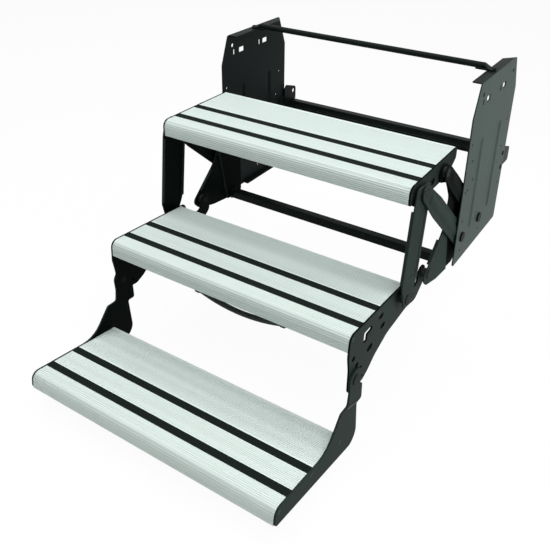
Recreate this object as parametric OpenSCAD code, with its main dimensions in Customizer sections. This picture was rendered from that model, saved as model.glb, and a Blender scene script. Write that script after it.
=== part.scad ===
// Three-tread pull-out entrance step, drawn in its extended position.
// Millimetres. X runs across the step, Y from the lowest tread towards the vehicle, Z up.
// The origin lies on the axis of the front mounting bolts, midway between the two side plates.

/* [Treads] */
// length of the top tread panel
tread_w = 594; // [520:1:680]
// depth of every tread from nose to back edge
tread_d = 232; // [226:1:240]
// height of the rounded nose
nose_h = 38; // [35:1:41]
// radius of the rounded nose edge
nose_r = 16; // [12:0.5:16.5]
// thickness of the panel skin
skin = 5; // [4.5:0.5:6]
// width of one grip strip
strip_w = 19; // [15:1:21]
// front strip's distance behind the nose
strip_front = 36; // [34:1:40]
// distance from strip to strip
strip_pitch = 69; // [66:1:74]
// pitch of the fine ribs on the tread
rib_pitch = 4.2; // [3.6:0.2:5]
// depth of the grooves between the ribs
rib_depth = 0.9; // [0.6:0.1:1.2]
// distance from the top tread's nose forward to the middle tread's nose
going_2 = 198; // [192:1:204]
// height from the middle tread up to the top tread
rise_2 = 214; // [210:1:218]
// distance from the middle tread's nose forward to the lower tread's nose
going_3 = 247; // [240:1:252]
// height from the lower tread up to the middle tread
rise_3 = 192; // [188:1:196]
// slope of the middle tread towards its back edge, in degrees
tilt_2 = 4; // [3:0.5:5]
// slope of the lower tread towards its back edge, in degrees
tilt_3 = 7.5; // [6.5:0.5:8.5]

/* [Housing] */
// depth of a side plate
plate_d = 286; // [280:1:300]
// height of a side plate
plate_h = 426; // [420:1:440]
// thickness of a side plate
plate_t = 3; // [2.5:0.5:4]
// width of the top flange
flange_w = 24; // [20:1:28]
// front mounting bolt's distance behind the front edge
bolt_back = 44; // [40:1:48]
// mounting bolts' distance below the top
bolt_drop = 28; // [25:1:31]
// distance from the front to the rear mounting bolt
bolt_pitch = 201; // [195:1:205]
// radius of a mounting bolt hole
bolt_r = 5.2; // [4.3:0.1:6]
// top tread's nose ahead of the side plates
tread_out = 248; // [244:1:252]
// top tread below the top of the side plates
tread_drop = 128; // [126:1:132]
// diameter of the upper tie bar
tie_bar_d = 14; // [12:1:16]
// height of the rear cross channel
channel_h = 30; // [26:1:34]

/* [Linkage] */
// distance between the front and rear pivots of every pair
pivot_gap = 110; // [108:1:112]
// horizontal reach of an arm
arm_reach = 238; // [236:1:240]
// vertical reach of an arm
arm_rise = 210; // [207:1:212]
// forward lean of a leg from pivot to pivot
leg_lean = 27; // [25:1:29]
// height of a leg from pivot to pivot
leg_drop = 230; // [228:1:232]
// width of a front arm
front_arm_w = 46; // [42:1:48]
// width of a rear arm
rear_arm_w = 38; // [34:1:42]
// width of a front leg
leg_w = 72; // [66:1:76]
// thickness of an arm
arm_t = 3; // [2.5:0.5:4]
// radius of a tread pivot pin
pin_r = 7; // [6:0.5:8]
// radius of an arm pivot pin in the side plates
arm_pin_r = 8; // [7:0.5:9]
// size of the square cross tube between the rear legs
tube_w = 22; // [20:1:25]
// swing hinge's distance behind the middle tread's nose
hinge_u = 30; // [28:1:33]
// radius of the bar of the pull handle
handle_r = 6; // [5:0.5:7]
// half length of the pull handle
handle_half = 110; // [95:1:125]
// depth of the pull handle's bow below the middle tread
handle_drop = 106; // [100:1:112]

/* [Hidden] */
$fn = 48;
// fits
run_fit = 0.05;
open_fit = 0.4;
seat_fit = 0.1;
side_fit = 0.1;
// one facet of a rounded outline, in degrees
arc_step = 12;
through = 1;

// layers from the treads outwards, as distances from the middle
end_t = 4;
leg_gap = 2;
flange_in = 4;
web_t = 3;
arm_gap = 3;
ridge_out = 2.5;
plate_gap = 0.6;
swing_gap = 3;
panel_gap = 1;
x_end_1 = tread_w / 2;
x_leg = x_end_1 + end_t + leg_gap;
x_web = x_leg + flange_in;
x_arm = x_web + web_t + arm_gap;
x_plate = x_arm + arm_t + ridge_out + plate_gap;
x_swing = x_leg - end_t - swing_gap;
x_end_2 = x_swing - panel_gap - end_t;

// tread noses and slopes
nose_1 = [-bolt_back - tread_out, bolt_drop - tread_drop];
nose_2 = nose_1 - [going_2, rise_2];
nose_3 = nose_2 - [going_3, rise_3];
noses = [nose_1, nose_2, nose_3];
tilts = [0, tilt_2, tilt_3];
half_w = [x_end_1, x_end_2, x_swing];

// pivots of the double parallelogram
pivot_in = [44, -24];
next_pivot = [pivot_gap, 0];
tread_pivot = nose_1 + pivot_in;
arm_pivot = tread_pivot + [arm_reach, -arm_rise];
leg_pivot = tread_pivot - [leg_lean, leg_drop];
rear_top = tread_pivot + next_pivot;
rear_low = leg_pivot + next_pivot;
arm_pivots = [arm_pivot, arm_pivot + next_pivot];
arm_len = norm([arm_reach, arm_rise]);
arm_angle = atan2(arm_rise, -arm_reach);
leg_len = norm([leg_lean, leg_drop]);
leg_angle = atan2(-leg_drop, -leg_lean);

// swing hinge, placed so that the lower tread lies flat on the middle one when turned over
flip_gap = 5;
flip_turn = tilt_3 - tilt_2;
swing_nose = to_tread(1, nose_3);
hinge_v = (flip_gap - (hinge_u - swing_nose.x) * sin(flip_turn) + swing_nose.y * cos(flip_turn))
          / (1 + cos(flip_turn));
hinge = from_tread(1, [hinge_u, hinge_v]);
hinge_3 = to_tread(2, hinge);
leg_pivot_2 = to_tread(1, leg_pivot);
rear_pivot_2 = to_tread(1, leg_pivot + next_pivot);

// panel section
nose_t = 4.5;
nose_low_r = 5;
lip_d = 16;
lip_t = 4;
back_h = 24;
back_t = 4;
web_h = 20;
rib_t = 3;
webs = [62, 168];
boss_r = 6;
boss_sink = 1;
screw_r = 2.5;
screw_len = 16;
screw_head_r = 5;
boss_v = boss_sink - skin - boss_r;
bosses = [[nose_t + boss_r - boss_sink, boss_v], [tread_d / 2, boss_v],
          [tread_d - back_t - boss_r + boss_sink, boss_v]];
strip_seat = 2;
strip_t = 2.8;
strip_edge_r = 0.5;
strip_foot_r = 0.2;
strip_lines = 4;
strip_line_depth = 0.5;
strips = [strip_front, strip_front + strip_pitch];
groove_w = 1.6;
groove_turn = rib_pitch / nose_r * 180 / PI;

// pins, bushes and clips
head_t = 1.4;
head_r = pin_r + 3;
head_sink = 1.6;
bush_r = pin_r + 4;
clip_r = arm_pin_r + 4;
clip_gap = 1;
bolt_head_r = arm_pin_r + 5;
bolt_head_t = 4;
bolt_gap = 0.6;
stop_r = 5;
end_r = 15;

// arms: a pressed ridge down the middle and a lip along the upper edge
ridge_w = 24;
ridge_r = (ridge_w * ridge_w / 4 + ridge_out * ridge_out) / (2 * ridge_out);
ridge_ends = [42, 38];
lip_in = 3;
lip_w = 2;
lip_depth = 0.8;
taper_r = 60;

// openings, ribs and rivets of the side plate, from its front edge and its top
front_cut = [26, 70];
back_cut = [29, 76];
plate_r = 6;
flange_notch = 30;
foot_w = 16;
foot_from = 84;
bead_y = [85, plate_d - 81];
bead_z = [-145, 76 - plate_h];
bead_w = 22;
bead_out = 3;
bead_r = (bead_w * bead_w / 4 + bead_out * bead_out) / (2 * bead_out);
hole_z = -bolt_drop - 18;
rear_bolt_y = bolt_back + bolt_pitch;
square_holes = [[bolt_back + 38, 22, 13], [rear_bolt_y - 58, 22, 13], [bolt_back + 6, 7, 14],
                [rear_bolt_y - 83, 7, 14]];
square_hole_r = 2;
small_hole_r = 3.2;
small_holes = [[17, -132], [35, -175], [53, -226], [16, -244], [28, -242], [plate_d - 28, -150],
               [plate_d - 43, -214], [23, -318], [plate_d - 24, -318], [33, 28 - plate_h],
               [153, 30 - plate_h]];
rivet_r = 3.5;
rivet_head_r = 6.5;
rivet_head_t = 2;
channel_y = plate_d + 32;
channel_z = -253;
channel_d = 18;
channel_t = 3;
channel_groove = [1, 5];
bracket_lap = 28;
bracket_rise = 22;
bracket_edge = 3;
bracket_rivets = [for (z = [channel_z + 10, channel_z - channel_h + bracket_edge])
                  [plate_d - bracket_lap / 2, z]];
tie_bar_y = plate_d - 158;
tie_end = [32, 22, 4];

// legs: along a front leg from its upper pivot, and from a rear leg's upper pivot
leg_head = [-15, 30];
leg_shoulder = 24;
leg_taper = [[leg_len - 40, leg_w / 2], [leg_len + 17, 14]];
leg_tail_r = 13;
leg_panel = [34, 46, 9];
leg_panel_r = 8;
leg_panel_depth = 1.2;
crank_back = rear_top + [140, -120];
tail_back = [rear_top.x + 142, rear_low.y - 54];
front_knee = rear_top + [40, -146];
front_low = rear_low - [30, 2];
leg_step = [rear_top + [44, -100], [rear_top.x + 86, rear_low.y - 60]];
tube_in = [24, 3];
tube_at = tail_back + [-tube_w / 2 - tube_in.x, tube_w / 2 + tube_in.y];
tube_wall = 2;

// end plates and swing arms
end_drop = 10;
end_slot = [36, 14];
recess = 2.2;
toe = hinge_v - 28;
tongue_v = -38;
hub_r = 23;
neck_front = 18;
neck_back = 40;
shoulder = [-44, -53];
crease = [[-21, -53.5], [20, -61]];
crease_r = 1.6;
crease_out = 0.7;
stop_drop = 10;

// pull handle
handle_u = 76;
handle_sag = 17;
handle_pad = [34, 18, 3];
lug_w = 2 * handle_r + 4;
lug_t = 2 * handle_r + 2;
lug_r = 5;

// Frames and outlines

function turned(p, a) = [p.x * cos(a) - p.y * sin(a), p.x * sin(a) + p.y * cos(a)];
function to_tread(i, p) = turned(p - noses[i], tilts[i]);
function from_tread(i, p) = noses[i] + turned(p, -tilts[i]);
function unit(v) = v / norm(v);
function flat(p) = [p[0], p[1]];
function shortest(a) = a > 180 ? a - 360 : a < -180 ? a + 360 : a;

// the arc that rounds corner p between its neighbours a and b
function corner(a, p, b, r) =
    let (u = unit(a - p), v = unit(b - p), h = acos(u * v) / 2)
    let (c = p + unit(u + v) * r / sin(h), s = p + u * r / tan(h) - c, e = p + v * r / tan(h) - c)
    let (t = atan2(s.y, s.x), sweep = shortest(atan2(e.y, e.x) - t), n = ceil(abs(sweep) / arc_step))
    [for (i = [0:n]) c + r * [cos(t + sweep * i / n), sin(t + sweep * i / n)]];

// an outline from points of the form [across, up, corner radius]
function outline(pts) =
    let (n = len(pts))
    [for (i = [0:n - 1]) each corner(flat(pts[(i + n - 1) % n]), flat(pts[i]), flat(pts[(i + 1) % n]),
                                     pts[i][2])];

module sheet(x, t) {
    translate([x, 0, 0]) rotate([90, 0, 90]) linear_extrude(t) children();
}

module bar_along_x(p, r, x0, x1) {
    translate([x0, p.x, p.y]) rotate([0, 90, 0]) cylinder(r = r, h = x1 - x0);
}

module both_sides() {
    children();
    mirror([1, 0, 0]) children();
}

module left_side() {
    mirror([1, 0, 0]) children();
}

module in_tread(i) {
    translate([0, noses[i].x, noses[i].y]) rotate([-tilts[i], 0, 0]) children();
}

// a link's own frame runs from its first pivot towards its second
module in_link(p, angle) {
    translate([0, p.x, p.y]) rotate([angle, 0, 0]) children();
}

module in_plate() {
    translate([0, -bolt_back, bolt_drop]) children();
}

module ring(p, r_out, r_in, x0, x1) {
    difference() {
        bar_along_x(p, r_out, x0, x1);
        bar_along_x(p, r_in, x0 - through, x1 + through);
    }
}

module rounded_box(c, w, h, r) {
    polygon(outline([[c.x - w / 2, c.y - h / 2, r], [c.x + w / 2, c.y - h / 2, r],
                     [c.x + w / 2, c.y + h / 2, r], [c.x - w / 2, c.y + h / 2, r]]));
}

// a bar with round ends along the second axis, from which beads and ridges are pressed
module round_bar(x, s0, s1, r) {
    translate([x, s0, 0]) {
        rotate([-90, 0, 0]) cylinder(r = r, h = s1 - s0);
        sphere(r);
        translate([0, s1 - s0, 0]) sphere(r);
    }
}

// a strip of sheet along the edge from p to q, on the left of that direction
module edge_strip(p, q, t) {
    n = unit([p.y - q.y, q.x - p.x]) * t;
    polygon([p, q, q + n, p + n]);
}

// Side plates, with a flange turned inward along the top and another along the foot

module plate_outline() {
    difference() {
        polygon(outline([[0, -plate_h, plate_r], [plate_d, -plate_h, plate_r],
                         [plate_d, -back_cut.y, plate_r], [plate_d - back_cut.x, 0, plate_r],
                         [front_cut.x, 0, plate_r], [0, -front_cut.y, plate_r]]));
        for (y = [bolt_back, rear_bolt_y])
            translate([y, -bolt_drop]) circle(bolt_r);
        for (h = square_holes)
            rounded_box([h[0], hole_z], h[1], h[2], square_hole_r);
        for (p = small_holes)
            translate(p) circle(small_hole_r);
        for (p = bracket_rivets)
            translate(p) circle(rivet_r + run_fit);
        for (p = arm_pivots)
            translate(p + [bolt_back, -bolt_drop]) circle(arm_pin_r + run_fit);
    }
}

module beads(r) {
    for (y = bead_y)
        translate([0, y, 0]) rotate([90, 0, 0])
            round_bar(x_plate + plate_t + bead_out - bead_r, bead_z[1], bead_z[0], r);
}

module top_flange() {
    x_in = x_plate + plate_t - flange_w;
    back = plate_d - back_cut.x;
    difference() {
        translate([0, 0, -plate_t]) linear_extrude(plate_t)
            polygon([[x_plate, front_cut.x + plate_r], [x_in, front_cut.x + plate_r],
                     [x_in, back - flange_notch], [x_plate, back - plate_r]]);
        tie_rivet(rivet_r + run_fit);
    }
}

module bottom_flange() {
    translate([x_plate + plate_t - foot_w, foot_from, -plate_h])
        cube([foot_w - plate_t, plate_d - plate_r - foot_from, plate_t]);
}

module tie_rivet(r) {
    translate([x_plate - tie_end.x / 4, tie_bar_y, -plate_t - through])
        cylinder(r = r, h = plate_t + tie_end.z + 2 * through);
}

module side_plate() {
    in_plate() {
        difference() {
            union() {
                sheet(x_plate, plate_t) plate_outline();
                intersection() {
                    beads(bead_r);
                    translate([x_plate, 0, -plate_h]) cube([plate_t + bead_out, plate_d, plate_h]);
                }
            }
            beads(bead_r - bead_out);
        }
    }
}

module side_plate_right() {
    color([0.16, 0.17, 0.17]) side_plate();
}

module side_plate_left() {
    color([0.16, 0.17, 0.17]) left_side() side_plate();
}

module top_flange_right() {
    color([0.16, 0.17, 0.17]) in_plate() top_flange();
}

module top_flange_left() {
    color([0.16, 0.17, 0.17]) left_side() in_plate() top_flange();
}

module bottom_flange_right() {
    color([0.16, 0.17, 0.17]) in_plate() bottom_flange();
}

module bottom_flange_left() {
    color([0.16, 0.17, 0.17]) left_side() in_plate() bottom_flange();
}

// Upper tie bar, a tube with flattened ends riveted on the flanges

module upper_tie_bar() {
    tube_half = x_plate - tie_end.x;
    color([0.15, 0.16, 0.16]) in_plate() {
        difference() {
            union() {
                bar_along_x([tie_bar_y, tie_bar_d / 2], tie_bar_d / 2, -tube_half, tube_half);
                both_sides() translate([tube_half - tie_bar_d, tie_bar_y - tie_end.y / 2, 0])
                    cube([tie_end.x + tie_bar_d / 2, tie_end.y, tie_end.z]);
            }
            both_sides() tie_rivet(rivet_r + run_fit);
        }
    }
}

module tie_bar_rivets() {
    color([0.42, 0.43, 0.43]) in_plate() both_sides() {
        translate([x_plate - tie_end.x / 4, tie_bar_y, -plate_t])
            cylinder(r = rivet_r, h = plate_t + tie_end.z + through);
        translate([x_plate - tie_end.x / 4, tie_bar_y, tie_end.z])
            cylinder(r1 = rivet_head_r, r2 = rivet_r, h = rivet_head_t);
    }
}

// Rear cross channel on its two brackets

module rear_cross_channel() {
    half = x_plate - plate_t;
    bottom = channel_z - channel_h;
    color([0.15, 0.16, 0.16]) in_plate() difference() {
        translate([-half, channel_y, bottom]) cube([2 * half, channel_d, channel_h]);
        translate([-half - through, channel_y + channel_t, bottom + channel_t])
            cube([2 * (half + through), channel_d, channel_h - 2 * channel_t]);
        translate([-half - through, channel_y - through, bottom + (channel_h - channel_groove.y) / 2])
            cube([2 * (half + through), channel_groove.x + through, channel_groove.y]);
    }
}

module channel_bracket() {
    front = plate_d - bracket_lap;
    back = channel_y + channel_d + bracket_edge;
    top = channel_z + bracket_rise;
    bottom = channel_z - channel_h - bracket_edge;
    in_plate() sheet(x_plate - plate_t, plate_t) difference() {
        polygon(outline([[front, top, 6], [plate_d, top, 10], [back, channel_z + bracket_edge, 10],
                         [back, bottom, 6], [front, bottom, 8]]));
        for (p = bracket_rivets)
            translate(p) circle(rivet_r + run_fit);
    }
}

module channel_bracket_right() {
    color([0.14, 0.15, 0.15]) channel_bracket();
}

module channel_bracket_left() {
    color([0.14, 0.15, 0.15]) left_side() channel_bracket();
}

module bracket_rivets_set() {
    color([0.42, 0.43, 0.43]) in_plate() both_sides()
        for (p = bracket_rivets) {
            bar_along_x(p, rivet_r, x_plate - plate_t, x_plate + plate_t + through);
            translate([x_plate + plate_t, p.x, p.y]) rotate([0, 90, 0])
                cylinder(r1 = rivet_head_r, r2 = rivet_r, h = rivet_head_t);
        }
}

// Arms and the bolts they turn on

module arm_outline(w) {
    neck = arm_len - 2 * w;
    polygon(outline([[-w / 2, -w / 2, w / 2 - 1], [neck, -w / 2, taper_r],
                     [arm_len + end_r, -end_r, end_r - 1], [arm_len + end_r, end_r, end_r - 1],
                     [neck, w / 2, taper_r], [-w / 2, w / 2, w / 2 - 1]]));
}

module arm_ridge(r) {
    round_bar(x_arm + arm_t + ridge_out - ridge_r, ridge_ends[0], arm_len - ridge_ends[1], r);
}

module arm(p, w, tread_fit) {
    face = x_arm + arm_t;
    in_link(p, arm_angle) difference() {
        union() {
            sheet(x_arm, arm_t) arm_outline(w);
            intersection() {
                arm_ridge(ridge_r);
                translate([x_arm, 0, -ridge_w]) cube([arm_t + ridge_out, arm_len, 2 * ridge_w]);
            }
        }
        arm_ridge(ridge_r - ridge_out);
        bar_along_x([0, 0], arm_pin_r + run_fit, x_arm - through, face + through);
        bar_along_x([arm_len, 0], pin_r + tread_fit, x_arm - through, face + through);
        bar_along_x([arm_len, 0], head_r + through, face - head_sink, face + through);
        translate([face - lip_depth, ridge_ends[0], lip_in - w / 2])
            cube([lip_depth + through, arm_len - 2 * w - ridge_ends[0], lip_w]);
    }
}

module front_arm_right() {
    color([0.17, 0.18, 0.18]) arm(arm_pivot, front_arm_w, run_fit);
}

module front_arm_left() {
    color([0.17, 0.18, 0.18]) left_side() arm(arm_pivot, front_arm_w, run_fit);
}

module rear_arm_right() {
    color([0.15, 0.16, 0.16]) arm(arm_pivot + next_pivot, rear_arm_w, open_fit);
}

module rear_arm_left() {
    color([0.15, 0.16, 0.16]) left_side() arm(arm_pivot + next_pivot, rear_arm_w, open_fit);
}

module arm_pivot_bolts() {
    color([0.24, 0.25, 0.25]) both_sides()
        for (p = arm_pivots) {
            bar_along_x(p, arm_pin_r, x_web + web_t + bolt_gap, x_plate + plate_t + through);
            translate([x_plate + plate_t, p.x, p.y]) rotate([0, 90, 0])
                cylinder(r = bolt_head_r, h = bolt_head_t, $fn = 6);
        }
}

// a clip inside every arm and a washer between the arm and the plate
module arm_pivot_clips() {
    color([0.55, 0.56, 0.56]) both_sides()
        for (p = arm_pivots) {
            ring(p, clip_r, arm_pin_r + run_fit, x_web + web_t + clip_gap, x_arm - side_fit);
            ring(p, clip_r, arm_pin_r + run_fit, x_arm + arm_t + side_fit, x_plate);
        }
}

// Tread panels, the same ribbed section at three lengths

function on_strip(u) = len([for (s = strips) if (u > s - 2 * groove_w && u < s + strip_w + groove_w) 1]) > 0;

module panel_shell() {
    polygon(outline([[0, 0, nose_r], [tread_d, 0, 2], [tread_d, -back_h, 1], [tread_d - back_t, -back_h, 1],
                     [tread_d - back_t, -skin, 3], [nose_t, -skin, nose_r - nose_t],
                     [nose_t, lip_t - nose_h, 3], [lip_d, lip_t - nose_h, 1], [lip_d, -nose_h, 1],
                     [0, -nose_h, nose_low_r]]));
}

module panel_webs() {
    for (u = webs)
        translate([u, -web_h]) square([rib_t, web_h - skin / 2]);
}

module panel_bosses(r) {
    for (p = bosses)
        translate(p) circle(r);
}

module panel_grooves() {
    for (u = strips)
        translate([u, -strip_seat]) square([strip_w, strip_seat + through]);
    for (u = [nose_r + rib_pitch : rib_pitch : tread_d - 2 * rib_pitch])
        if (!on_strip(u))
            translate([u, -rib_depth]) square([groove_w, rib_depth + through]);
    for (a = [0 : groove_turn : 90])
        translate([nose_r, -nose_r]) rotate(90 + a) translate([nose_r - rib_depth, -groove_w / 2])
            square([rib_depth + through, groove_w]);
    for (v = [-nose_r - rib_pitch : -rib_pitch : nose_low_r - nose_h])
        translate([-through, v - groove_w / 2]) square([through + rib_depth, groove_w]);
}

module panel(i) {
    half = half_w[i];
    color([0.72, 0.73, 0.74]) in_tread(i) difference() {
        union() {
            sheet(-half, 2 * half) panel_shell();
            sheet(-half, 2 * half) panel_webs();
            sheet(-half, 2 * half) panel_bosses(boss_r);
        }
        sheet(-half - through, 2 * (half + through)) panel_bosses(screw_r + run_fit);
        sheet(-half - through, 2 * (half + through)) panel_grooves();
    }
}

module strip_pair(i) {
    top = strip_t - strip_seat;
    color([0.05, 0.05, 0.055]) in_tread(i)
        for (u = strips)
            sheet(-half_w[i], 2 * half_w[i]) difference() {
                polygon(outline([[u + seat_fit, -strip_seat, strip_foot_r],
                                 [u + strip_w - seat_fit, -strip_seat, strip_foot_r],
                                 [u + strip_w - seat_fit, top, strip_edge_r],
                                 [u + seat_fit, top, strip_edge_r]]));
                for (k = [1 : strip_lines])
                    translate([u + k * strip_w / (strip_lines + 1) - groove_w / 2, top - strip_line_depth])
                        square([groove_w, strip_line_depth + through]);
            }
}

// countersunk screws through an end plate that starts at x, into the panel's bosses
module end_screws(i, extra) {
    in_tread(i) both_sides()
        for (p = bosses) {
            bar_along_x(p, screw_r + extra, half_w[i] - screw_len, half_w[i] + end_t);
            translate([half_w[i] + end_t, p.x, p.y]) rotate([0, -90, 0])
                cylinder(r1 = screw_head_r + extra, r2 = screw_r + extra, h = screw_head_r - screw_r);
        }
}

module tread_panel_top() {
    panel(0);
}

module tread_panel_middle() {
    panel(1);
}

module tread_panel_lower() {
    panel(2);
}

module grip_strips_top() {
    strip_pair(0);
}

module grip_strips_middle() {
    strip_pair(1);
}

module grip_strips_lower() {
    strip_pair(2);
}

module end_screws_top() {
    color([0.5, 0.51, 0.52]) end_screws(0, 0);
}

module end_screws_middle() {
    color([0.5, 0.51, 0.52]) end_screws(1, 0);
}

module arm_screws_lower() {
    color([0.5, 0.51, 0.52]) end_screws(2, 0);
}

// Top tread's end plates and pins

module end_plate_top() {
    bottom = -nose_h - end_drop;
    difference() {
        in_tread(0) sheet(x_end_1, end_t) difference() {
            polygon(outline([[0, 0, nose_r], [tread_d, 0, 4], [tread_d, -back_h, 8],
                             [tread_d - 40, bottom, 20], [22, bottom, 10], [14, -nose_h, 6],
                             [0, -nose_h, nose_low_r]]));
            for (p = [pivot_in, pivot_in + next_pivot])
                translate(p) circle(pin_r + run_fit);
        }
        in_tread(0) sheet(x_end_1 + end_t - recess, end_t)
            rounded_box(pivot_in + [pivot_gap / 2, -5], end_slot.x, end_slot.y, end_slot.y / 2 - 1);
        end_screws(0, seat_fit);
    }
}

module end_plate_top_right() {
    color([0.15, 0.16, 0.16]) end_plate_top();
}

module end_plate_top_left() {
    color([0.15, 0.16, 0.16]) left_side() end_plate_top();
}

module tread_pins_top() {
    x_out = x_arm + arm_t - head_sink + side_fit;
    color([0.3, 0.31, 0.31]) both_sides()
        for (p = [tread_pivot, rear_top]) {
            bar_along_x(p, pin_r, x_end_1, x_out);
            bar_along_x(p, head_r, x_out, x_out + head_t);
        }
}

// a bush on either side of every leg
module spacer_bushes_top() {
    color([0.1, 0.1, 0.1]) both_sides()
        for (at = [[tread_pivot, x_web], [rear_top, x_leg]]) {
            ring(at[0], bush_r, pin_r + run_fit, x_end_1 + end_t, at[1] - side_fit);
            ring(at[0], bush_r, pin_r + run_fit, at[1] + web_t + side_fit, x_arm - side_fit);
        }
}

// Legs

function front_edge(p) = [p.x, -p.y];

module front_leg() {
    half = leg_w / 2;
    straight = [leg_head.y, leg_taper[0].x - 6];
    in_link(tread_pivot, leg_angle) difference() {
        union() {
            sheet(x_web, web_t)
                polygon(outline([[leg_head.x, -leg_head.y, 10], [leg_shoulder, -half, 30],
                                 concat(front_edge(leg_taper[0]), 12),
                                 concat(front_edge(leg_taper[1]), leg_tail_r),
                                 concat(leg_taper[1], leg_tail_r), concat(leg_taper[0], 12),
                                 [leg_shoulder, half, 30], [leg_head.x, leg_head.y, 10]]));
            sheet(x_leg, flange_in) {
                edge_strip([straight[0], -half], [straight[1], -half], web_t);
                edge_strip([straight[1], half], [straight[0], half], web_t);
            }
        }
        for (s = [0, leg_len])
            bar_along_x([s, 0], pin_r + run_fit, x_web - through, x_web + web_t + through);
        sheet(x_web + web_t - leg_panel_depth, web_t)
            polygon(outline([[leg_panel.x, -half / 2, leg_panel_r],
                             [leg_len - leg_panel.y, -half / 2, leg_panel_r],
                             [leg_len - leg_panel.y, half - leg_panel.z, leg_panel_r],
                             [leg_panel.x, half - leg_panel.z, leg_panel_r]]));
    }
}

module front_leg_right() {
    color([0.16, 0.17, 0.17]) front_leg();
}

module front_leg_left() {
    color([0.16, 0.17, 0.17]) left_side() front_leg();
}

// the rear leg is cranked: a wide gusset stands back from the line between its two pivots, and the strip
// along its lower front edge is set outwards and welded to it
module rear_leg_outline() {
    polygon(outline([[rear_top.x - end_r, rear_top.y + end_r - 1, end_r - 2],
                     [rear_top.x + end_r - 2, rear_top.y + end_r - 1, end_r - 2],
                     [rear_top.x + 62, rear_top.y - 24, 40], concat(crank_back, 16), concat(tail_back, 16),
                     [rear_low.x + 50, rear_low.y - 40, 60], [rear_low.x - 8, rear_low.y - 24, 18],
                     concat(front_low, 14), concat(front_knee, 90), [rear_top.x + 58, rear_top.y - 84, 30],
                     [rear_top.x + 26, rear_top.y - 34, 30],
                     [rear_top.x - end_r, rear_top.y - 20, end_r - 4]]));
}

module ahead_of_step() {
    reach = [-leg_len, 0];
    polygon([leg_step[0], leg_step[1], leg_step[1] + reach, leg_step[0] + reach]);
}

module step_wall() {
    edge_strip(leg_step[0] - [web_t / 2, 0], leg_step[1] - [web_t / 2, 0], web_t);
}

module rear_leg() {
    x_out = x_web + web_t;
    difference() {
        union() {
            intersection() {
                sheet(x_web, web_t) rear_leg_outline();
                sheet(x_web - through, web_t + 2 * through) ahead_of_step();
            }
            intersection() {
                sheet(x_leg, x_out - x_leg) rear_leg_outline();
                sheet(x_leg - through, x_out - x_leg + 2 * through) step_wall();
            }
            sheet(x_leg, flange_in)
                edge_strip(front_low * 0.7 + front_knee * 0.3, front_low * 0.25 + front_knee * 0.75, -web_t);
        }
        bar_along_x(rear_low, pin_r + open_fit, x_web - through, x_out + through);
    }
}

module leg_gusset() {
    difference() {
        union() {
            sheet(x_leg, web_t) rear_leg_outline();
            sheet(x_leg, x_web + web_t - x_leg)
                edge_strip([crank_back.x, crank_back.y - 24], [tail_back.x - 0.2, tail_back.y + 24], -web_t);
        }
        sheet(x_leg - through, web_t + 2 * through) ahead_of_step();
        sheet(x_leg - through, web_t + 2 * through) step_wall();
        bar_along_x(rear_top, pin_r + run_fit, x_leg - through, x_leg + web_t + through);
    }
}

module rear_leg_right() {
    color([0.14, 0.15, 0.15]) rear_leg();
}

module rear_leg_left() {
    color([0.14, 0.15, 0.15]) left_side() rear_leg();
}

module leg_gusset_right() {
    color([0.08, 0.085, 0.085]) leg_gusset();
}

module leg_gusset_left() {
    color([0.08, 0.085, 0.085]) left_side() leg_gusset();
}

module leg_cross_tube() {
    hollow = tube_w - 2 * tube_wall;
    color([0.15, 0.16, 0.16]) sheet(-x_leg, 2 * x_leg) difference() {
        rounded_box(tube_at, tube_w, tube_w, 3);
        rounded_box(tube_at, hollow, hollow, 1.5);
    }
}

// Middle tread's end plates, pins and stops

middle_recesses = [[89, -73, 22, 13], [20, -59, 13, 10], [37, -83, 13, 10], [54, -101, 15, 9],
                   [128, -23, 20, 10], [141, -51, 20, 12]];
bent_slot = [[57, -47, 3], [72, -47, 3], [72, -34, 2], [90, -32, 3], [90, -21, 3], [57, -23, 3]];

module end_plate_middle() {
    difference() {
        in_tread(1) sheet(x_end_2, end_t) difference() {
            polygon(outline([[0, 0, nose_r], [tread_d + 12, 0, 8], [tread_d + 32, tongue_v, 16],
                             [rear_pivot_2.x - end_r - 6, tongue_v, 12],
                             [rear_pivot_2.x - end_r, rear_pivot_2.y + end_r, end_r - 2],
                             [rear_pivot_2.x + end_r, rear_pivot_2.y + end_r, end_r - 2],
                             [rear_pivot_2.x + end_r, tongue_v - 10, 16],
                             [rear_pivot_2.x - 20, 2 * tongue_v, 30],
                             [leg_pivot_2.x + 42, leg_pivot_2.y - 46, 60],
                             [leg_pivot_2.x - 48, leg_pivot_2.y - 60, 60],
                             [hinge_u + 88, hinge_v + 2, 40], [hinge_u + 62, hinge_v - 18, 20],
                             [hinge_u + 42, toe, 16], [hinge_u - 18, toe, 14],
                             [hinge_u - 22, hinge_v + 30, 30], [0, -nose_h - end_drop, 16]]));
            for (p = [leg_pivot_2, rear_pivot_2, [hinge_u, hinge_v]])
                translate(p) circle(pin_r + run_fit);
            polygon(outline(bent_slot));
        }
        in_tread(1) sheet(x_end_2 + end_t - recess, end_t)
            for (s = middle_recesses)
                rounded_box([s[0], s[1]], s[2], s[3], s[3] / 2 - 0.5);
        end_screws(1, seat_fit);
        leg_stops(run_fit);
        swing_stops(run_fit);
    }
}

module end_plate_middle_right() {
    color([0.16, 0.17, 0.17]) end_plate_middle();
}

module end_plate_middle_left() {
    color([0.16, 0.17, 0.17]) left_side() end_plate_middle();
}

module tread_pins_middle() {
    x_out = x_web + web_t + side_fit;
    color([0.3, 0.31, 0.31]) both_sides()
        for (p = [leg_pivot, rear_low]) {
            bar_along_x(p, pin_r, x_end_2, x_out);
            bar_along_x(p, head_r, x_out, x_out + head_t);
        }
}

module spacer_bushes_middle() {
    color([0.1, 0.1, 0.1]) both_sides()
        for (p = [leg_pivot, rear_low])
            ring(p, bush_r, pin_r + run_fit, x_end_2 + end_t, x_web - side_fit);
}

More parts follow.
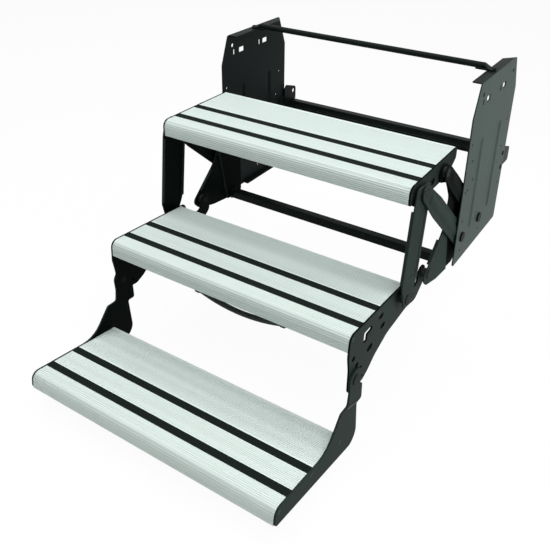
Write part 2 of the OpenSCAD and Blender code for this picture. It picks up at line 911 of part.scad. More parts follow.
module swing_hinge_pins() {
    x_out = x_swing + end_t + side_fit;
    color([0.3, 0.31, 0.31]) both_sides() {
        bar_along_x(hinge, pin_r, x_end_2, x_out);
        bar_along_x(hinge, head_r + 1, x_out, x_out + head_t);
    }
}

// the stop stands behind the tapered lower end of the leg
module leg_stops(extra) {
    along = unit(leg_taper[1] - leg_taper[0]);
    at = leg_taper[0] * 0.3 + leg_taper[1] * 0.7 + [-along.y, along.x] * (stop_r + open_fit);
    in_link(tread_pivot, leg_angle) both_sides()
        bar_along_x(at, stop_r + extra, x_end_2, x_web + web_t);
}

module leg_stop_pins() {
    color([0.3, 0.31, 0.31]) leg_stops(0);
}

module swing_stops(extra) {
    at = hinge_3 + [hub_r + stop_r + open_fit, -stop_drop];
    in_tread(2) both_sides()
        bar_along_x(at, stop_r + extra, x_end_2, x_swing + end_t);
}

module swing_stop_pins() {
    color([0.3, 0.31, 0.31]) swing_stops(0);
}

// Pull handle hung under the middle tread

module pull_handle() {
    bow_r = (handle_half * handle_half + handle_sag * handle_sag) / (2 * handle_sag);
    bow_angle = asin(handle_half / bow_r);
    lug_low = handle_sag - handle_drop - handle_r;
    color([0.07, 0.07, 0.075]) in_tread(1) {
        translate([0, handle_u, bow_r - handle_drop]) rotate([90, 0, 0]) rotate([0, 0, -90 - bow_angle])
            rotate_extrude(angle = 2 * bow_angle) translate([bow_r, 0]) circle(handle_r);
        both_sides() {
            translate([handle_half, handle_u + lug_t / 2, 0]) rotate([90, 0, 0]) linear_extrude(lug_t)
                polygon(outline([[-lug_w / 2, lug_low, lug_r], [lug_w / 2, lug_low, lug_r],
                                 [lug_w / 2, -skin, 1], [-lug_w / 2, -skin, 1]]));
            translate([handle_half - handle_pad.x / 2, handle_u - handle_pad.y / 2, -skin - handle_pad.z])
                cube(handle_pad);
        }
    }
}

// Lower tread's swing arms

module swing_arm() {
    h = hinge_3;
    along = crease[1] - crease[0];
    difference() {
        in_tread(2) {
            sheet(x_swing, end_t) difference() {
                polygon(outline([[0, 0, nose_r], [tread_d - 62, 0, 60], concat(h + shoulder, 8),
                                 [h.x - neck_front, h.y + shoulder.y + 3, 6],
                                 [h.x - neck_front, h.y - hub_r, 14], [h.x - hub_r, h.y + 2, 10],
                                 [h.x - hub_r, h.y + hub_r, hub_r - 3],
                                 [h.x + hub_r, h.y + hub_r, hub_r - 3], [h.x + hub_r, h.y - 18, 6],
                                 [h.x + neck_back - 6, h.y - 26, 8],
                                 [h.x + neck_back, h.y + crease[1].y - 2, 5],
                                 concat(h + crease[1] - [0, 3], 4), [h.x + 36, -24, 24],
                                 [h.x + hub_r, -nose_h - end_drop, 24], [0, -nose_h, 10]]));
                translate(h) circle(pin_r + run_fit);
            }
            translate([x_swing + end_t + crease_out - crease_r, h.x + crease[0].x, h.y + crease[0].y])
                rotate([atan2(along.y, along.x) - 90, 0, 0]) cylinder(r = crease_r, h = norm(along));
        }
        end_screws(2, seat_fit);
    }
}

module swing_arm_right() {
    color([0.16, 0.17, 0.17]) swing_arm();
}

module swing_arm_left() {
    color([0.16, 0.17, 0.17]) left_side() swing_arm();
}

module hinge_washers() {
    color([0.62, 0.62, 0.6]) both_sides()
        ring(hinge, bush_r + 3, pin_r + run_fit, x_end_2 + end_t + side_fit, x_swing);
}

side_plate_right();
side_plate_left();
top_flange_right();
top_flange_left();
bottom_flange_right();
bottom_flange_left();
upper_tie_bar();
tie_bar_rivets();
rear_cross_channel();
channel_bracket_right();
channel_bracket_left();
bracket_rivets_set();
arm_pivot_bolts();
arm_pivot_clips();
front_arm_right();
front_arm_left();
rear_arm_right();
rear_arm_left();
tread_panel_top();
grip_strips_top();
end_plate_top_right();
end_plate_top_left();
end_screws_top();
tread_pins_top();
spacer_bushes_top();
front_leg_right();
front_leg_left();
rear_leg_right();
rear_leg_left();
leg_gusset_right();
leg_gusset_left();
leg_cross_tube();
tread_panel_middle();
grip_strips_middle();
end_plate_middle_right();
end_plate_middle_left();
end_screws_middle();
tread_pins_middle();
spacer_bushes_middle();
swing_hinge_pins();
leg_stop_pins();
swing_stop_pins();
pull_handle();
tread_panel_lower();
grip_strips_lower();
swing_arm_right();
swing_arm_left();
arm_screws_lower();
hinge_washers();
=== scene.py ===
import math

import bmesh
import bpy
from mathutils import Matrix, Vector


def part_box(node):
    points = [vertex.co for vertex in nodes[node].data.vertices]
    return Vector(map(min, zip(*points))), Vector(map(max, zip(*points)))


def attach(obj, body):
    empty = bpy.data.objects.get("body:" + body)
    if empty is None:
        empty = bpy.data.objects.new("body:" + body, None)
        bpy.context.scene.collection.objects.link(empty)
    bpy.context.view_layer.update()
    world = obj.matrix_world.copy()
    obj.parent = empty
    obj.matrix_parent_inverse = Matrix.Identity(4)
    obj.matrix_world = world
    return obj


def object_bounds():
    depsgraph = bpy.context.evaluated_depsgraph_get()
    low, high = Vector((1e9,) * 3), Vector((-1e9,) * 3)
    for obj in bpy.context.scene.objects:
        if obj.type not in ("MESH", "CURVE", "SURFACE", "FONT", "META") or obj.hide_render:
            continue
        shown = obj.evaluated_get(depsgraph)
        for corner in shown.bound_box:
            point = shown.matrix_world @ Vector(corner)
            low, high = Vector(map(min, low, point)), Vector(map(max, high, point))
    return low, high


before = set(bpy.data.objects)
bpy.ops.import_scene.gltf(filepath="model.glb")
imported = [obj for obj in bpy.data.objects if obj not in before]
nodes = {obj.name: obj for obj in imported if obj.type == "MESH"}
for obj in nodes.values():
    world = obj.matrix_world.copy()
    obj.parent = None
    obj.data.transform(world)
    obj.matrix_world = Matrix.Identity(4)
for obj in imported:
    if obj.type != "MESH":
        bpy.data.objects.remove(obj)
cad_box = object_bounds()

# The view.
# The step stands alone on white paper and is seen from above and from its right, from about the height of
# someone who walks up to it. The optical axis meets the picture above its middle.
scene = bpy.context.scene
scene.view_settings.view_transform = "Standard"

picture_px = 550.0
focal_px = 716.7
axis_row_px = 200.0
azimuth, elevation, roll = math.radians(33.17), math.radians(28.0), math.radians(0.46)
stand = (0.7321, -1.4099, 0.4983)

back = Vector((math.sin(azimuth) * math.cos(elevation), -math.cos(azimuth) * math.cos(elevation),
               math.sin(elevation)))
right = Vector((math.cos(azimuth), math.sin(azimuth), 0))
up = back.cross(right)
tilted_right = right * math.cos(roll) + up * math.sin(roll)
tilted_up = up * math.cos(roll) - right * math.sin(roll)
camera_data = bpy.data.cameras.new("camera")
camera_data.sensor_width = 36.0
camera_data.lens = camera_data.sensor_width * focal_px / picture_px
camera_data.shift_y = (axis_row_px - picture_px / 2) / picture_px
camera_data.clip_end = 50.0
camera = bpy.data.objects.new("camera", camera_data)
camera.matrix_world = Matrix((
    (tilted_right.x, tilted_up.x, back.x, stand[0]),
    (tilted_right.y, tilted_up.y, back.y, stand[1]),
    (tilted_right.z, tilted_up.z, back.z, stand[2]),
    (0, 0, 0, 1)))
scene.collection.objects.link(camera)
scene.camera = camera

# The paper ground below the lowest tread and the plain room around it.
# Both show as white to the eye and in the metal; the paper keeps a trace of the step's shadow.
# A large soft box hangs overhead, and a small one lights the right side plate.
paper_half = 14.0
paper_white = 0.95
room_white = 1.0
ground_gap = 0.002
ground_z = cad_box[0][2] - ground_gap
ground_mesh = bpy.data.meshes.new("ground")
ground_mesh.from_pydata([(-paper_half, -paper_half, ground_z), (paper_half, -paper_half, ground_z),
                         (paper_half, paper_half, ground_z), (-paper_half, paper_half, ground_z)], [],
                        [(0, 1, 2, 3)])
ground = bpy.data.objects.new("ground", ground_mesh)
scene.collection.objects.link(ground)


def maths(tree, operation, second=None):
    node = tree.nodes.new("ShaderNodeMath")
    node.operation = operation
    if second is not None:
        node.inputs[1].default_value = second
    return node


def white_where_seen(tree, lit_socket, white_socket, surface_socket, share):
    path = tree.nodes.new("ShaderNodeLightPath")
    mirrored = maths(tree, "MAXIMUM")
    seen = maths(tree, "MAXIMUM")
    part = maths(tree, "MULTIPLY", share)
    mix = tree.nodes.new("ShaderNodeMixShader")
    tree.links.new(path.outputs["Is Glossy Ray"], mirrored.inputs[0])
    tree.links.new(path.outputs["Is Transmission Ray"], mirrored.inputs[1])
    tree.links.new(path.outputs["Is Camera Ray"], seen.inputs[0])
    tree.links.new(mirrored.outputs["Value"], seen.inputs[1])
    tree.links.new(seen.outputs["Value"], part.inputs[0])
    tree.links.new(part.outputs["Value"], mix.inputs["Fac"])
    tree.links.new(lit_socket, mix.inputs[1])
    tree.links.new(white_socket, mix.inputs[2])
    tree.links.new(mix.outputs["Shader"], surface_socket)


paper = bpy.data.materials.new("white paper ground")
paper.use_nodes = True
tree = paper.node_tree
tree.nodes.clear()
surface = tree.nodes.new("ShaderNodeOutputMaterial")
lit = tree.nodes.new("ShaderNodeBsdfDiffuse")
lit.inputs["Color"].default_value = (0.86, 0.86, 0.86, 1)
white = tree.nodes.new("ShaderNodeEmission")
white.inputs["Strength"].default_value = 1.0
white_where_seen(tree, lit.outputs["BSDF"], white.outputs["Emission"], surface.inputs["Surface"],
                 paper_white)
ground_mesh.materials.append(paper)

room = bpy.data.worlds.new("studio room")
scene.world = room
room.use_nodes = True
tree = room.node_tree
tree.nodes.clear()
surface = tree.nodes.new("ShaderNodeOutputWorld")
fill = tree.nodes.new("ShaderNodeBackground")
fill.inputs["Color"].default_value = (0.93, 0.98, 0.97, 1)
fill.inputs["Strength"].default_value = 0.2
white = tree.nodes.new("ShaderNodeBackground")
white.inputs["Color"].default_value = (1, 1, 1, 1)
white.inputs["Strength"].default_value = 1.0
white_where_seen(tree, fill.outputs["Background"], white.outputs["Background"], surface.inputs["Surface"],
                 room_white)


def soft_box(name, place, target, size, power):
    lamp_data = bpy.data.lights.new(name, "AREA")
    lamp_data.shape = "RECTANGLE"
    lamp_data.size, lamp_data.size_y = size
    lamp_data.energy = power
    lamp = bpy.data.objects.new(name, lamp_data)
    lamp.location = place
    lamp.rotation_euler = (Vector(target) - Vector(place)).to_track_quat("-Z", "Y").to_euler()
    lamp.visible_camera = False
    scene.collection.objects.link(lamp)


soft_box("overhead soft box", place=(0.1, -0.6, 1.7), target=(0.1, -0.6, -0.3), size=(4.0, 3.4), power=95.0)
soft_box("right soft box", place=(1.9, 0.3, 0.05), target=(0.32, 0.05, -0.15), size=(0.9, 0.9), power=16.0)

# Side plates of the housing, with their turned-in flanges.
# Pressed steel sheet with long beads and slanted corners, powder coated in satin black; a pale colour on the
# outer faces is partly dust and partly painted light, and the inner faces stay black as painted shade. They
# bolt to the vehicle's chassis rails and carry everything else.
# The coat group paints faces that look outward a pale colour, partly dust and partly painted light, and
# leaves faces that look inward black as painted shade.
coat_wear_and_light = bpy.data.node_groups.new("coat, wear and painted light", "ShaderNodeTree")
for label, kind in (("Coat Colour", "Color"), ("Dust And Light Colour", "Color"), ("Rubbed And Highlight Colour", "Color"),
                    ("Grain Scale", "Float"), ("Base Roughness", "Float"), ("Edge Radius", "Float"),
                    ("Dust And Shade From", "Float")):
    coat_wear_and_light.interface.new_socket(label, in_out="INPUT", socket_type="NodeSocket" + kind)
for label, kind in (("Colour", "Color"), ("Roughness", "Float"), ("Grain", "Float"),
                    ("Soft Normal", "Vector")):
    coat_wear_and_light.interface.new_socket(label, in_out="OUTPUT", socket_type="NodeSocket" + kind)
given = coat_wear_and_light.nodes.new("NodeGroupInput")
result = coat_wear_and_light.nodes.new("NodeGroupOutput")
place = coat_wear_and_light.nodes.new("ShaderNodeTexCoord")
shape = coat_wear_and_light.nodes.new("ShaderNodeNewGeometry")
link = coat_wear_and_light.links.new

# cloudy pale colour on faces that look away from the middle, beyond a set distance from it, partly dust and
# partly painted light; the other faces keep the black coat as painted shade
least_facing = -0.05
cloud = coat_wear_and_light.nodes.new("ShaderNodeTexNoise")
cloud.inputs["Scale"].default_value = 9.0
cloud.inputs["Detail"].default_value = 5.0
dust_mask = coat_wear_and_light.nodes.new("ShaderNodeMapRange")
dust_mask.inputs["From Min"].default_value = 0.3
dust_mask.inputs["From Max"].default_value = 0.7
dust_mask.inputs["To Min"].default_value = 0.75
split = coat_wear_and_light.nodes.new("ShaderNodeSeparateXYZ")
split_normal = coat_wear_and_light.nodes.new("ShaderNodeSeparateXYZ")
sideways = maths(coat_wear_and_light, "ABSOLUTE")
outside = maths(coat_wear_and_light, "GREATER_THAN")
facing = maths(coat_wear_and_light, "MULTIPLY")
outward = maths(coat_wear_and_light, "GREATER_THAN", least_facing)
dust_and_light_faces = maths(coat_wear_and_light, "MULTIPLY")
dust_and_light_share = maths(coat_wear_and_light, "MULTIPLY")
dust_and_light_mix = coat_wear_and_light.nodes.new("ShaderNodeMix")
dust_and_light_mix.data_type = "RGBA"
link(place.outputs["Object"], cloud.inputs["Vector"])
link(cloud.outputs["Fac"], dust_mask.inputs["Value"])
link(place.outputs["Object"], split.inputs["Vector"])
link(place.outputs["Normal"], split_normal.inputs["Vector"])
link(split.outputs["X"], sideways.inputs[0])
link(sideways.outputs["Value"], outside.inputs[0])
link(given.outputs["Dust And Shade From"], outside.inputs[1])
link(split.outputs["X"], facing.inputs[0])
link(split_normal.outputs["X"], facing.inputs[1])
link(facing.outputs["Value"], outward.inputs[0])
link(outside.outputs["Value"], dust_and_light_faces.inputs[0])
link(outward.outputs["Value"], dust_and_light_faces.inputs[1])
link(dust_mask.outputs["Result"], dust_and_light_share.inputs[0])
link(dust_and_light_faces.outputs["Value"], dust_and_light_share.inputs[1])
link(dust_and_light_share.outputs["Value"], dust_and_light_mix.inputs["Factor"])
link(given.outputs["Coat Colour"], dust_and_light_mix.inputs["A"])
link(given.outputs["Dust And Light Colour"], dust_and_light_mix.inputs["B"])

# edges painted paler where the softened normal turns away from the face, partly rubbed wear and partly
# painted highlight
soft_edge = coat_wear_and_light.nodes.new("ShaderNodeBevel")
soft_edge.samples = 4
edge_turn = coat_wear_and_light.nodes.new("ShaderNodeVectorMath")
edge_turn.operation = "DOT_PRODUCT"
edge_mask = coat_wear_and_light.nodes.new("ShaderNodeMapRange")
edge_mask.inputs["From Min"].default_value = 0.995
edge_mask.inputs["From Max"].default_value = 0.86
edge_mask.inputs["To Max"].default_value = 0.5
wear_and_highlight = maths(coat_wear_and_light, "MULTIPLY")
rubbed_and_highlit = coat_wear_and_light.nodes.new("ShaderNodeMix")
rubbed_and_highlit.data_type = "RGBA"
link(given.outputs["Edge Radius"], soft_edge.inputs["Radius"])
link(soft_edge.outputs["Normal"], edge_turn.inputs[0])
link(shape.outputs["Normal"], edge_turn.inputs[1])
link(edge_turn.outputs["Value"], edge_mask.inputs["Value"])
link(edge_mask.outputs["Result"], wear_and_highlight.inputs[0])
link(cloud.outputs["Fac"], wear_and_highlight.inputs[1])
link(wear_and_highlight.outputs["Value"], rubbed_and_highlit.inputs["Factor"])
link(dust_and_light_mix.outputs["Result"], rubbed_and_highlit.inputs["A"])
link(given.outputs["Rubbed And Highlight Colour"], rubbed_and_highlit.inputs["B"])
link(rubbed_and_highlit.outputs["Result"], result.inputs["Colour"])
link(soft_edge.outputs["Normal"], result.inputs["Soft Normal"])

# uneven gloss and the coat's fine grain
roughness_spread = 0.14
rough = maths(coat_wear_and_light, "MULTIPLY_ADD", roughness_spread)
grain = coat_wear_and_light.nodes.new("ShaderNodeTexNoise")
grain.inputs["Detail"].default_value = 3.0
grain.inputs["Roughness"].default_value = 0.6
link(cloud.outputs["Fac"], rough.inputs[0])
link(given.outputs["Base Roughness"], rough.inputs[2])
link(rough.outputs["Value"], result.inputs["Roughness"])
link(place.outputs["Object"], grain.inputs["Vector"])
link(given.outputs["Grain Scale"], grain.inputs["Scale"])
link(grain.outputs["Fac"], result.inputs["Grain"])


def worn_and_lit_finish(name, coat, dust_and_light, rub_and_highlight, roughness, gloss, grain_scale, bump, edge, dust_and_shade_from=0.0):
    gloss_tint = (0.72, 1.0, 0.9, 1)
    grain_depth = 0.0004
    finish = bpy.data.materials.new(name)
    finish.use_nodes = True
    tree = finish.node_tree
    shader = tree.nodes["Principled BSDF"]
    shader.inputs["Specular IOR Level"].default_value = gloss
    shader.inputs["Specular Tint"].default_value = gloss_tint
    group = tree.nodes.new("ShaderNodeGroup")
    group.node_tree = coat_wear_and_light
    group.inputs["Coat Colour"].default_value = (*coat, 1)
    group.inputs["Dust And Light Colour"].default_value = (*dust_and_light, 1)
    group.inputs["Rubbed And Highlight Colour"].default_value = (*rub_and_highlight, 1)
    group.inputs["Grain Scale"].default_value = grain_scale
    group.inputs["Base Roughness"].default_value = roughness
    group.inputs["Edge Radius"].default_value = edge
    group.inputs["Dust And Shade From"].default_value = dust_and_shade_from
    relief = tree.nodes.new("ShaderNodeBump")
    relief.inputs["Strength"].default_value = bump
    relief.inputs["Distance"].default_value = grain_depth
    tree.links.new(group.outputs["Colour"], shader.inputs["Base Color"])
    tree.links.new(group.outputs["Roughness"], shader.inputs["Roughness"])
    tree.links.new(group.outputs["Grain"], relief.inputs["Height"])
    tree.links.new(group.outputs["Soft Normal"], relief.inputs["Normal"])
    tree.links.new(relief.outputs["Normal"], shader.inputs["Normal"])
    return finish


def dress(finish, *names):
    for name in names:
        mesh = nodes[name].data
        mesh.materials.clear()
        mesh.materials.append(finish)


plate_t = 0.003
plate_inner_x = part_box("bottom_flange_right")[1][0]
plate_coat = worn_and_lit_finish("satin black plate coat", coat=(0.003, 0.005, 0.005), dust_and_light=(0.044, 0.063, 0.056),
                         rub_and_highlight=(0.055, 0.07, 0.064), roughness=0.42, gloss=0.06, grain_scale=900.0, bump=0.12,
                         edge=0.0012, dust_and_shade_from=plate_inner_x + plate_t / 2)
dress(plate_coat, "side_plate_right", "side_plate_left", "top_flange_right", "top_flange_left",
      "bottom_flange_right", "bottom_flange_left")

# Tie bar, rear channel and its brackets.
# A steel tube with crushed ends and a folded channel keep the two plates apart; both are riveted on
# and coated black. The channel's edges are painted much paler, as a painted highlight along them.
bar_black, bar_dust_and_light = (0.003, 0.0045, 0.004), (0.006, 0.008, 0.0075)
bar_coat = worn_and_lit_finish("satin black bar coat", coat=bar_black, dust_and_light=bar_dust_and_light, rub_and_highlight=(0.036, 0.043, 0.04),
                       roughness=0.34, gloss=0.05, grain_scale=900.0, bump=0.1, edge=0.001)
dress(bar_coat, "upper_tie_bar", "channel_bracket_right", "channel_bracket_left")
channel_coat = worn_and_lit_finish("satin black channel coat", coat=bar_black, dust_and_light=bar_dust_and_light, rub_and_highlight=(0.15, 0.18, 0.17),
                           roughness=0.34, gloss=0.05, grain_scale=900.0, bump=0.1, edge=0.0022)
dress(channel_coat, "rear_cross_channel")


def ringed_piece(name, rings, body, finish, loop=False):
    count, sides = len(rings), len(rings[0])
    faces = [(i * sides + k, i * sides + (k + 1) % sides,
              (i + 1) % count * sides + (k + 1) % sides, (i + 1) % count * sides + k)
             for i in range(count if loop else count - 1) for k in range(sides)]
    if not loop:
        faces += [tuple(range(sides)), tuple(range((count - 1) * sides, count * sides))]
    mesh = bpy.data.meshes.new(name)
    mesh.from_pydata([tuple(p) for ring in rings for p in ring], [], faces)
    shell = bmesh.new()
    shell.from_mesh(mesh)
    bmesh.ops.recalc_face_normals(shell, faces=shell.faces)
    shell.to_mesh(mesh)
    shell.free()
    mesh.materials.append(finish)
    piece = bpy.data.objects.new(name, mesh)
    scene.collection.objects.link(piece)
    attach(piece, body)
    return mesh


bar_low, bar_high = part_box("upper_tie_bar")
bar_r = (bar_high[2] - bar_low[2]) / 2
bar_y, bar_z = (bar_low[1] + bar_high[1]) / 2, (bar_low[2] + bar_high[2]) / 2
flat_half, flat_t, flat_len = (bar_high[1] - bar_low[1]) / 2, 0.004, 0.025
crush_len, crush_skin, crush_rings, crush_sides = 0.016, 0.0002, 10, 32
for side, sign in (("right", 1), ("left", -1)):
    rings = []
    for i in range(crush_rings + 1):
        t = i / crush_rings
        flat = t * t * (3 - 2 * t)
        half_y = bar_r + (flat_half - bar_r) * flat + crush_skin
        half_z = bar_r + (flat_t / 2 - bar_r) * flat + crush_skin
        middle_z = bar_z + (bar_low[2] + flat_t / 2 - bar_z) * flat + crush_skin
        roundness = 1 / (1 + 2 * flat)
        x = sign * (bar_high[0] - flat_len + crush_len * t)
        ring = []
        for k in range(crush_sides):
            turn = 2 * math.pi * k / crush_sides
            across, above = math.cos(turn), math.sin(turn)
            ring.append((x, bar_y + half_y * math.copysign(abs(across) ** roundness, across),
                         middle_z + half_z * math.copysign(abs(above) ** roundness, above)))
        rings.append(ring)
    ringed_piece("tie_bar_crush_" + side, rings, "housing", bar_coat).shade_smooth()

# Ear on the left bracket.
# A steel tab with a hole, lapped on the bracket above the left end of the channel and coated like it, that
# takes a switch or a clip.
ear_t, ear_lap, ear_len, ear_rise = 0.0028, 0.0001, 0.058, 0.052
ear_inset, ear_clear = 0.0005, 0.001
front_corner_r, back_corner_r, back_corner_drop, back_corner_turn = 0.012, 0.01, 0.012, 75
corner_steps, edge_step = 6, 0.003
hole_r, hole_in, hole_up = 0.006, 0.012, 0.027
ear_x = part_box("channel_bracket_left")[1][0] + ear_lap
ear_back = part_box("channel_bracket_left")[1][1] - ear_inset
ear_front = ear_back - ear_len
ear_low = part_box("rear_cross_channel")[1][2] + ear_clear
ear_high = ear_low + ear_rise
hole_y, hole_z = ear_back - hole_in, ear_low + hole_up
corners = [(ear_front, ear_low)]
for middle_y, middle_z, r, first, last in (
        (ear_front + front_corner_r, ear_high - front_corner_r, front_corner_r, 180, 90),
        (ear_back - back_corner_r, ear_high - back_corner_drop - back_corner_r, back_corner_r,
         back_corner_turn, 0)):
    for i in range(corner_steps + 1):
        turn = math.radians(first + (last - first) * i / corner_steps)
        corners.append((middle_y + r * math.cos(turn), middle_z + r * math.sin(turn)))
corners.append((ear_back, ear_low))
edge = []
for (y0, z0), (y1, z1) in zip(corners, corners[1:] + corners[:1]):
    count = max(1, round(math.dist((y0, z0), (y1, z1)) / edge_step))
    edge += [(y0 + (y1 - y0) * i / count, z0 + (z1 - z0) * i / count) for i in range(count)]
turns = [math.atan2(z - hole_z, y - hole_y) for y, z in edge]
hole = [(hole_y + hole_r * math.cos(turn), hole_z + hole_r * math.sin(turn)) for turn in turns]
ringed_piece("channel_ear_left", [[(ear_x, *p) for p in edge], [(ear_x + ear_t, *p) for p in edge],
                                  [(ear_x + ear_t, *p) for p in hole], [(ear_x, *p) for p in hole]],
             "housing", bar_coat, loop=True)

# Arms and legs.
# Pressed steel strips and folded channels, coated black, that turn on bolts in the plates and on the
# treads' pins.
# Painted light: outward faces get a pale colour that is partly dust and partly painted light, the edges a
# much paler painted highlight, and inward faces stay black as painted shade.
arm_coat = worn_and_lit_finish("satin black arm coat", coat=(0.003, 0.005, 0.0045), dust_and_light=(0.021, 0.0325, 0.028),
                       rub_and_highlight=(0.16, 0.19, 0.18), roughness=0.38, gloss=0.008, grain_scale=900.0, bump=0.12,
                       edge=0.002)
dress(arm_coat, "front_arm_right", "front_arm_left", "front_leg_right", "front_leg_left", "rear_leg_right",
      "rear_leg_left")

# Rear arms and the gussets of the rear legs.
# Flat plates that stand behind the front arms and behind the rear legs' outer strips, painted a dull near
# black as painted shade for the shade they stand in.
painted_shade_coat = worn_and_lit_finish("dull black painted shade", coat=(0.003, 0.004, 0.004), dust_and_light=(0.005, 0.0065, 0.006),
                        rub_and_highlight=(0.02, 0.022, 0.022), roughness=0.6, gloss=0.012, grain_scale=700.0, bump=0.2,
                        edge=0.0008)
dress(painted_shade_coat, "rear_arm_right", "rear_arm_left", "leg_gusset_right", "leg_gusset_left")

# Cross tube of the rear legs.
# Square steel tube, coated black like the tie bar, with a rippled weld all round each end where it meets
# the gussets.
dress(bar_coat, "leg_cross_tube")


def weld_bead(name, path, radius, body, finish):
    ripple_pitch, ripple, sides, step = 0.0026, 0.22, 8, 0.0009
    rings = []
    gone = 0.0
    for start, end in zip(path, path[1:]):
        start, end = Vector(start), Vector(end)
        along = (end - start).normalized()
        across = along.cross(Vector((1, 0, 0))).normalized()
        third = along.cross(across)
        count = max(2, int((end - start).length / step))
        for i in range(count + 1):
            r = radius * (1 + ripple * math.sin(2 * math.pi * gone / ripple_pitch))
            middle = start.lerp(end, i / count)
            rings.append([middle + (across * math.cos(turn) + third * math.sin(turn)) * r
                          for turn in (2 * math.pi * k / sides for k in range(sides))])
            gone += (end - start).length / count
    ringed_piece(name, rings, body, finish).shade_smooth()


tube_low, tube_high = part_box("leg_cross_tube")
tube_bead_r, tube_bead_in = 0.0016, 0.0012
for side, end_x in (("right", tube_high[0] - tube_bead_in), ("left", tube_low[0] + tube_bead_in)):
    corners = [(end_x, y, z) for y, z in ((tube_low[1], tube_low[2]), (tube_high[1], tube_low[2]),
                                          (tube_high[1], tube_high[2]), (tube_low[1], tube_high[2]),
                                          (tube_low[1], tube_low[2]))]
    weld_bead("tube_weld_" + side, corners, tube_bead_r, "rear_legs", bar_coat)

# End plates of the treads and the lower tread's swing arms.
# Stamped steel with pressed recesses, screwed to the ends of the aluminium and coated black; a pale colour,
# partly dust and partly painted light, greys them outside the recesses, and the recess floors stay black as
# painted shade.
dust_and_shade_depth = 0.0005
end_coat = worn_and_lit_finish("satin black end plate coat", coat=(0.002, 0.003, 0.003), dust_and_light=(0.021, 0.031, 0.0275),
                       rub_and_highlight=(0.045, 0.056, 0.051), roughness=0.4, gloss=0.015, grain_scale=900.0, bump=0.12,
                       edge=0.001, dust_and_shade_from=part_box("end_plate_middle_right")[1][0] - dust_and_shade_depth)
dress(end_coat, "end_plate_middle_right", "end_plate_middle_left", "swing_arm_right", "swing_arm_left")
# Painted shade: the top tread's end plates get a darker copy of the same coat.
top_end_shaded_coat = worn_and_lit_finish("satin black top end plate coat, painted shade", coat=(0.002, 0.003, 0.003),
                           dust_and_light=(0.016, 0.024, 0.021), rub_and_highlight=(0.04, 0.05, 0.046), roughness=0.4, gloss=0.012,
                           grain_scale=900.0, bump=0.12, edge=0.001,
                           dust_and_shade_from=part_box("end_plate_top_right")[1][0] - dust_and_shade_depth)
dress(top_end_shaded_coat, "end_plate_top_right", "end_plate_top_left")

# Welds of the swing arms.
# Each swing arm is two stampings lapped below the hinge; the coated weld across the lap is painted paler
# than the black coat, as a painted highlight where it catches the light.
weld_highlight_finish = worn_and_lit_finish("coated weld with painted highlight", coat=(0.05, 0.062, 0.057), dust_and_light=(0.07, 0.084, 0.078),
                          rub_and_highlight=(0.1, 0.115, 0.11), roughness=0.36, gloss=0.2, grain_scale=900.0, bump=0.1,
                          edge=0.0006)
lap_bead_r, lap_bead_sink = 0.0012, 0.0004
front_from_hinge, back_from_hinge = (-0.027866, -0.050358), (0.011834, -0.063158)
hinge_low, hinge_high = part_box("hinge_washers")
hinge_y, hinge_z = (hinge_low[1] + hinge_high[1]) / 2, (hinge_low[2] + hinge_high[2]) / 2
lap_ends = [(hinge_y + along, hinge_z + above) for along, above in (front_from_hinge, back_from_hinge)]
for side, sign in (("right", 1), ("left", -1)):
    weld_x = sign * (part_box("swing_arm_right")[1][0] - lap_bead_sink)
    weld_bead("lap_weld_" + side, [(weld_x, *end) for end in lap_ends], lap_bead_r, "lower_tread",
              weld_highlight_finish)

# Pins, bolts, screws and rivets.
# Turned and cold-headed steel, blackened; screws, clips and washers are in dark zinc plate.
pin_finish = worn_and_lit_finish("blackened steel", coat=(0.002, 0.0025, 0.0025), dust_and_light=(0.004, 0.005, 0.005),
                         rub_and_highlight=(0.03, 0.034, 0.032), roughness=0.4, gloss=0.04, grain_scale=1400.0, bump=0.05,
                         edge=0.0008)
dress(pin_finish, "arm_pivot_bolts", "tread_pins_top", "tread_pins_middle", "swing_hinge_pins",
      "leg_stop_pins", "swing_stop_pins", "tie_bar_rivets", "bracket_rivets_set")
zinc = worn_and_lit_finish("dark zinc plate", coat=(0.02, 0.023, 0.022), dust_and_light=(0.014, 0.016, 0.016),
                   rub_and_highlight=(0.06, 0.066, 0.063), roughness=0.45, gloss=0.1, grain_scale=1600.0, bump=0.05,
                   edge=0.0006)
zinc.node_tree.nodes["Principled BSDF"].inputs["Metallic"].default_value = 0.7
dress(zinc, "arm_pivot_clips", "end_screws_top", "end_screws_middle", "arm_screws_lower", "hinge_washers")

# Spacer bushes.
# Moulded black nylon rings that keep the arms and legs apart on the treads' pins.
nylon = worn_and_lit_finish("black nylon", coat=(0.008, 0.008, 0.008), dust_and_light=(0.016, 0.016, 0.016),
                    rub_and_highlight=(0.03, 0.03, 0.03), roughness=0.55, gloss=0.15, grain_scale=500.0, bump=0.1,
                    edge=0.0005)
dress(nylon, "spacer_bushes_top", "spacer_bushes_middle")

# Tread panels.
# Extruded aluminium with fine lengthwise ribs and a ribbed rounded nose, left satin with drawing marks
# that run along the tread.
tread_metal = bpy.data.materials.new("ribbed tread aluminium")
tread_metal.use_nodes = True
tree = tread_metal.node_tree
link = tree.links.new
shader = tree.nodes["Principled BSDF"]
shader.inputs["Metallic"].default_value = 0.12
shader.inputs["Specular IOR Level"].default_value = 0.15
place = tree.nodes.new("ShaderNodeTexCoord")

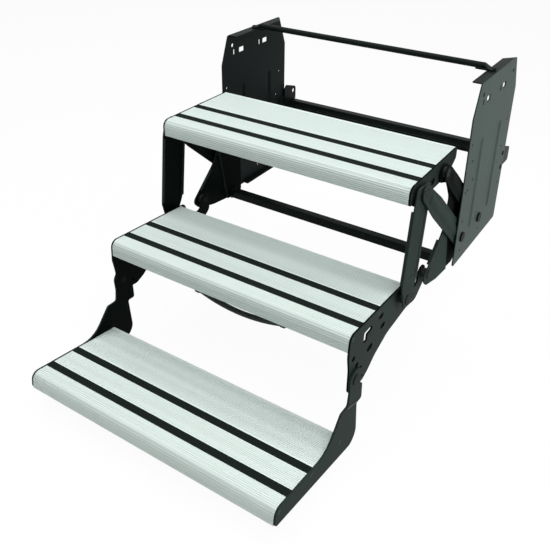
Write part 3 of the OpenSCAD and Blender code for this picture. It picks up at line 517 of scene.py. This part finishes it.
# drawing marks, long across the step and very fine the other ways
stretch = tree.nodes.new("ShaderNodeMapping")
stretch.inputs["Scale"].default_value = (2.0, 700.0, 700.0)
drawn = tree.nodes.new("ShaderNodeTexNoise")
drawn.inputs["Scale"].default_value = 1.0
drawn.inputs["Detail"].default_value = 4.0
tone = tree.nodes.new("ShaderNodeMix")
tone.data_type = "RGBA"
tone.inputs["A"].default_value = (0.56, 0.635, 0.605, 1)
tone.inputs["B"].default_value = (0.73, 0.8, 0.775, 1)
link(place.outputs["Object"], stretch.inputs["Vector"])
link(stretch.outputs["Vector"], drawn.inputs["Vector"])
link(drawn.outputs["Fac"], tone.inputs["Factor"])

# painted shade on the nose: dark rib lines where the face turns to the front, darker the more it turns
rib_pitch = 0.0044
painted_rib_shade = 0.5
wave_at_scale_one = math.pi / 10
faces = tree.nodes.new("ShaderNodeSeparateXYZ")
nose = tree.nodes.new("ShaderNodeMapRange")
nose.inputs["From Min"].default_value = -0.3
nose.inputs["From Max"].default_value = -0.85
ribs = tree.nodes.new("ShaderNodeTexWave")
ribs.bands_direction = "Z"
ribs.inputs["Scale"].default_value = wave_at_scale_one / rib_pitch
ribs.inputs["Distortion"].default_value = 0.0
nose_ribs = maths(tree, "MULTIPLY")
shade = maths(tree, "MULTIPLY", painted_rib_shade)
ribbed = tree.nodes.new("ShaderNodeMix")
ribbed.data_type = "RGBA"
ribbed.inputs["B"].default_value = (0.2, 0.25, 0.225, 1)
link(place.outputs["Normal"], faces.inputs["Vector"])
link(faces.outputs["Y"], nose.inputs["Value"])
link(place.outputs["Object"], ribs.inputs["Vector"])
link(ribs.outputs["Fac"], nose_ribs.inputs[0])
link(nose.outputs["Result"], nose_ribs.inputs[1])
link(nose_ribs.outputs["Value"], shade.inputs[0])
link(shade.outputs["Value"], ribbed.inputs["Factor"])
link(tone.outputs["Result"], ribbed.inputs["A"])
link(ribbed.outputs["Result"], shader.inputs["Base Color"])

# uneven satin, and relief from the marks and the ribs
cloud = tree.nodes.new("ShaderNodeTexNoise")
cloud.inputs["Scale"].default_value = 6.0
cloud.inputs["Detail"].default_value = 4.0
rough = tree.nodes.new("ShaderNodeMapRange")
rough.inputs["To Min"].default_value = 0.55
rough.inputs["To Max"].default_value = 0.7
relief_height = maths(tree, "ADD")
relief = tree.nodes.new("ShaderNodeBump")
relief.inputs["Strength"].default_value = 0.15
relief.inputs["Distance"].default_value = 0.0004
soft_edge = tree.nodes.new("ShaderNodeBevel")
soft_edge.samples = 4
soft_edge.inputs["Radius"].default_value = 0.0004
link(place.outputs["Object"], cloud.inputs["Vector"])
link(cloud.outputs["Fac"], rough.inputs["Value"])
link(rough.outputs["Result"], shader.inputs["Roughness"])
link(drawn.outputs["Fac"], relief_height.inputs[0])
link(nose_ribs.outputs["Value"], relief_height.inputs[1])
link(relief_height.outputs["Value"], relief.inputs["Height"])
link(soft_edge.outputs["Normal"], relief.inputs["Normal"])
link(relief.outputs["Normal"], shader.inputs["Normal"])
dress(tread_metal, "tread_panel_top", "tread_panel_middle", "tread_panel_lower")

# Grip strips.
# Black grooved rubber extrusions pushed into two seats along each tread.
grip = worn_and_lit_finish("grip rubber", coat=(0.005, 0.008, 0.007), dust_and_light=(0.009, 0.013, 0.012),
                   rub_and_highlight=(0.016, 0.021, 0.019), roughness=0.7, gloss=0.05, grain_scale=1500.0, bump=0.3,
                   edge=0.0003)
dress(grip, "grip_strips_top", "grip_strips_middle", "grip_strips_lower")

# Pull handle.
# A steel bow hung under the middle tread and dipped in black plastic, for pulling the step out.
dip = worn_and_lit_finish("dipped handle plastic", coat=(0.016, 0.016, 0.018), dust_and_light=(0.03, 0.03, 0.032),
                  rub_and_highlight=(0.04, 0.04, 0.042), roughness=0.5, gloss=0.25, grain_scale=700.0, bump=0.1,
                  edge=0.0015)
dress(dip, "pull_handle")
